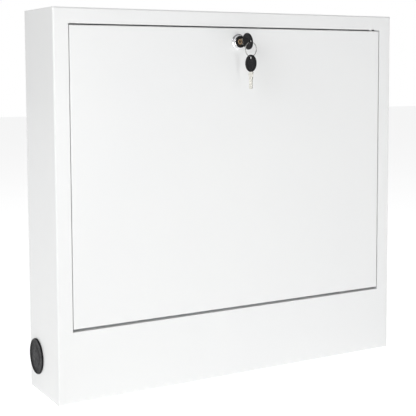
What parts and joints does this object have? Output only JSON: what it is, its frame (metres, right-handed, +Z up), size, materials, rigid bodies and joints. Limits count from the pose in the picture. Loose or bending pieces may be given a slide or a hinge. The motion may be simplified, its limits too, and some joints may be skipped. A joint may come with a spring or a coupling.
{
  "type": "underfloor heating manifold cabinet",
  "caption": "White surface-mounted sheet-steel cabinet with a fold-down lockable door and keys, holding an underfloor heating manifold with valves, flow meters and outlets.",
  "frame": {"origin": "bottom centre of the rear face, which lies against the wall", "axes": "+X to the right seen from the front, +Y into the wall, +Z up"},
  "size_m": [0.6208, 0.1705, 0.58],
  "materials": {
    "white_powder": "satin powder coat",
    "galvanised": "galvanised sheet",
    "zinc_steel": "zinc plated",
    "stainless": "brushed stainless tube",
    "nickel_brass": "nickel plated brass",
    "brass": "polished",
    "chrome": "polished",
    "clamp_plastic": "moulded",
    "clear_tube": "clear moulded",
    "red_plastic": "moulded",
    "blue_plastic": "moulded",
    "black_plastic": "moulded",
    "lock_face": "moulded",
    "key_black": "moulded",
    "key_metal": "nickel plated"
  },
  "bodies": {
    "cabinet": {"casing": "white_powder", "back_panel": "galvanised", "rail_upper": "galvanised", "rail_lower": "galvanised", "bracket_left": "galvanised", "bracket_right": "galvanised", "bracket_bolts": "zinc_steel", "slide_nuts": "zinc_steel", "clamp_base_supply_left": "clamp_plastic", "clamp_base_supply_right": "clamp_plastic", "clamp_base_return_left": "clamp_plastic", "clamp_base_return_right": "clamp_plastic", "clamp_cap_supply_left": "clamp_plastic", "clamp_cap_supply_right": "clamp_plastic", "clamp_cap_return_left": "clamp_plastic", "clamp_cap_return_right": "clamp_plastic", "clamp_screws": "zinc_steel", "supply_bar": "stainless", "return_bar": "stainless", "supply_outlets": "nickel_brass", "return_outlets": "nickel_brass", "flow_glasses": "clear_tube", "valve_inserts": "nickel_brass", "ball_valve_supply": "nickel_brass", "ball_valve_return": "nickel_brass", "end_piece_supply": "nickel_brass", "end_piece_return": "nickel_brass", "air_vents": "nickel_brass", "drain_cocks": "nickel_brass"},
    "door": {"door": "white_powder", "door_pins": "zinc_steel", "lock_housing": "chrome", "lock_face": "lock_face", "lock_nut": "zinc_steel"},
    "lock_core": {"lock_core": "brass", "cam": "zinc_steel", "cam_screw": "zinc_steel"},
    "key_1": {"key_head_1": "key_black", "key_blade_1": "key_metal"},
    "key_ring": {"key_ring": "key_metal"},
    "key_2": {"key_head_2": "key_black", "key_blade_2": "key_metal"},
    "flow_ring_1": {"flow_ring_1": "red_plastic"},
    "valve_cap_1": {"valve_cap_1": "blue_plastic"},
    "flow_ring_2": {"flow_ring_2": "red_plastic"},
    "valve_cap_2": {"valve_cap_2": "blue_plastic"},
    "flow_ring_3": {"flow_ring_3": "red_plastic"},
    "valve_cap_3": {"valve_cap_3": "blue_plastic"},
    "flow_ring_4": {"flow_ring_4": "red_plastic"},
    "valve_cap_4": {"valve_cap_4": "blue_plastic"},
    "flow_ring_5": {"flow_ring_5": "red_plastic"},
    "valve_cap_5": {"valve_cap_5": "blue_plastic"},
    "valve_supply": {"valve_ball_supply": "chrome", "valve_handle_supply": "red_plastic"},
    "valve_return": {"valve_ball_return": "chrome", "valve_handle_return": "blue_plastic"},
    "side_plug_left": {"side_plug_left": "black_plastic"},
    "side_plug_right": {"side_plug_right": "black_plastic"}
  },
  "joints": [
    {"name": "door_hinge", "type": "hinge", "parent": "cabinet", "child": "door", "pos_m": [0, -0.1155, 0.1155], "axis": [1, 0, 0], "range_deg": [0, 90]},
    {"name": "lock_turn", "type": "hinge", "parent": "door", "child": "lock_core", "pos_m": [0, -0.12, 0.5337], "axis": [0, 1, 0], "range_deg": [0, 98]},
    {"name": "key_withdraw", "type": "slide", "parent": "lock_core", "child": "key_1", "axis": [0, -1, 0], "range_m": [0, 0.03]},
    {"name": "ring_swing", "type": "hinge", "parent": "key_1", "child": "key_ring", "pos_m": [0, -0.1574, 0.5323], "axis": [0.9877, 0.1564, 0], "range_deg": [-90, 15]},
    {"name": "key_2_swing", "type": "hinge", "parent": "key_ring", "child": "key_2", "pos_m": [0, -0.1574, 0.5099], "axis": [0.9877, 0.1564, 0], "range_deg": [-60, 15]},
    {"name": "flow_ring_1_turn", "type": "hinge", "parent": "cabinet", "child": "flow_ring_1", "pos_m": [-0.075, -0.042, 0.435], "axis": [0, 0, 1], "range_deg": [0, 720]},
    {"name": "flow_ring_2_turn", "type": "hinge", "parent": "cabinet", "child": "flow_ring_2", "pos_m": [-0.025, -0.042, 0.435], "axis": [0, 0, 1], "range_deg": [0, 720]},
    {"name": "flow_ring_3_turn", "type": "hinge", "parent": "cabinet", "child": "flow_ring_3", "pos_m": [0.025, -0.042, 0.435], "axis": [0, 0, 1], "range_deg": [0, 720]},
    {"name": "flow_ring_4_turn", "type": "hinge", "parent": "cabinet", "child": "flow_ring_4", "pos_m": [0.075, -0.042, 0.435], "axis": [0, 0, 1], "range_deg": [0, 720]},
    {"name": "flow_ring_5_turn", "type": "hinge", "parent": "cabinet", "child": "flow_ring_5", "pos_m": [0.125, -0.042, 0.435], "axis": [0, 0, 1], "range_deg": [0, 720]},
    {"name": "valve_cap_1_turn", "type": "hinge", "parent": "cabinet", "child": "valve_cap_1", "pos_m": [-0.075, -0.08, 0.275], "axis": [0, 0, 1], "range_deg": [0, 720]},
    {"name": "valve_cap_2_turn", "type": "hinge", "parent": "cabinet", "child": "valve_cap_2", "pos_m": [-0.025, -0.08, 0.275], "axis": [0, 0, 1], "range_deg": [0, 720]},
    {"name": "valve_cap_3_turn", "type": "hinge", "parent": "cabinet", "child": "valve_cap_3", "pos_m": [0.025, -0.08, 0.275], "axis": [0, 0, 1], "range_deg": [0, 720]},
    {"name": "valve_cap_4_turn", "type": "hinge", "parent": "cabinet", "child": "valve_cap_4", "pos_m": [0.075, -0.08, 0.275], "axis": [0, 0, 1], "range_deg": [0, 720]},
    {"name": "valve_cap_5_turn", "type": "hinge", "parent": "cabinet", "child": "valve_cap_5", "pos_m": [0.125, -0.08, 0.275], "axis": [0, 0, 1], "range_deg": [0, 720]},
    {"name": "valve_supply_turn", "type": "hinge", "parent": "cabinet", "child": "valve_supply", "pos_m": [-0.163, -0.042, 0.405], "axis": [0, 0, -1], "range_deg": [0, 90]},
    {"name": "valve_return_turn", "type": "hinge", "parent": "cabinet", "child": "valve_return", "pos_m": [-0.163, -0.08, 0.235], "axis": [0, 0, -1], "range_deg": [0, 90]},
    {"name": "plug_left_pull", "type": "slide", "parent": "cabinet", "child": "side_plug_left", "axis": [-1, 0, 0], "range_m": [0, 0.02]},
    {"name": "plug_right_pull", "type": "slide", "parent": "cabinet", "child": "side_plug_right", "axis": [1, 0, 0], "range_m": [0, 0.02]}
  ]
}
